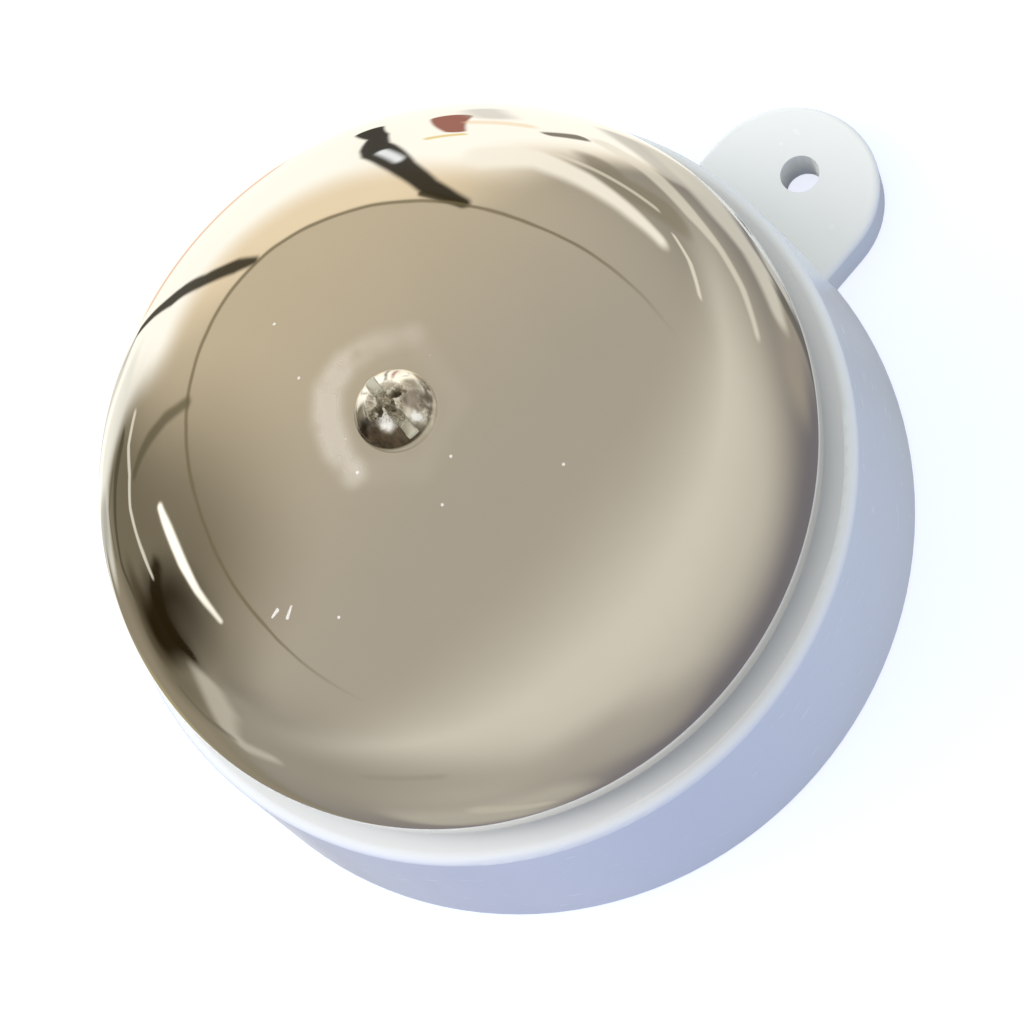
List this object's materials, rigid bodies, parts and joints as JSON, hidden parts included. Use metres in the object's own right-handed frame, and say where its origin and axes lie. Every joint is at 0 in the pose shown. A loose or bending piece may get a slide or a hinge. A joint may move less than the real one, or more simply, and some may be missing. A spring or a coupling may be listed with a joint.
{
  "type": "electric bell",
  "caption": "Wall bell: a polished dome gong on a round moulded housing with a fixing lug. Inside, an electromagnet rocks a hinged armature whose ball hammer rings the gong.",
  "frame": {"origin": "centre of the flat back face, on the gong's axis", "axes": "+Z out of the wall through the gong's screw, +Y towards the fixing lug (up when it hangs), +X to the right seen from the front"},
  "size_m": [0.0872, 0.1007, 0.0454],
  "materials": {
    "chrome": "polished and plated",
    "plated_screw": "bright plated",
    "white_plastic": "glossy moulded",
    "zinc_steel": "zinc plated",
    "soft_iron": "annealed, lightly plated",
    "spring_steel": "rolled, bright",
    "brass": "turned",
    "bronze_strip": "rolled",
    "silver": "bright",
    "copper_wire": "enamelled winding",
    "bobbin_plastic": "moulded",
    "phenolic": "moulded, insulating",
    "fibre": "vulcanised fibre sheet",
    "terminal_plastic": "moulded",
    "red_insulation": "extruded",
    "bush_plastic": "moulded, soft"
  },
  "bodies": {
    "bell": {"base_housing": "white_plastic", "base_plate": "zinc_steel", "cable_bush": "bush_plastic", "gong_pillar": "zinc_steel", "gong_washer": "fibre", "gong": "chrome", "gong_screw": "plated_screw", "yoke": "zinc_steel", "core_left": "soft_iron", "core_right": "soft_iron", "bobbin_left": "bobbin_plastic", "bobbin_right": "bobbin_plastic", "winding_left": "copper_wire", "winding_right": "copper_wire", "spring_post": "zinc_steel", "spring_clamp": "zinc_steel", "contact_block": "phenolic", "contact_bracket": "brass", "contact_screw": "brass", "contact_nut": "brass", "terminal_block": "terminal_plastic", "terminal_sleeves": "brass", "terminal_screws": "plated_screw", "base_screws": "plated_screw", "frame_screws": "plated_screw", "core_screws": "plated_screw", "spring_screws": "plated_screw", "bracket_screw": "plated_screw", "coil_link": "red_insulation", "coil_lead": "red_insulation", "frame_lead": "red_insulation", "contact_lead": "red_insulation"},
    "armature": {"armature": "soft_iron", "armature_spring": "spring_steel", "armature_rivets": "brass", "contact_spring": "bronze_strip", "contact_button": "silver", "hammer_rod": "spring_steel", "hammer_head": "brass"}
  },
  "joints": [
    {"name": "armature_hinge", "type": "hinge", "parent": "bell", "child": "armature", "pos_m": [-0.023, -0.00553, 0.0116], "axis": [0, 0, 1], "range_deg": [-1.8, 0], "stiffness_Nm_per_rad": 0.12, "springref_deg": 1.15, "deforming": ["armature_spring"]}
  ]
}
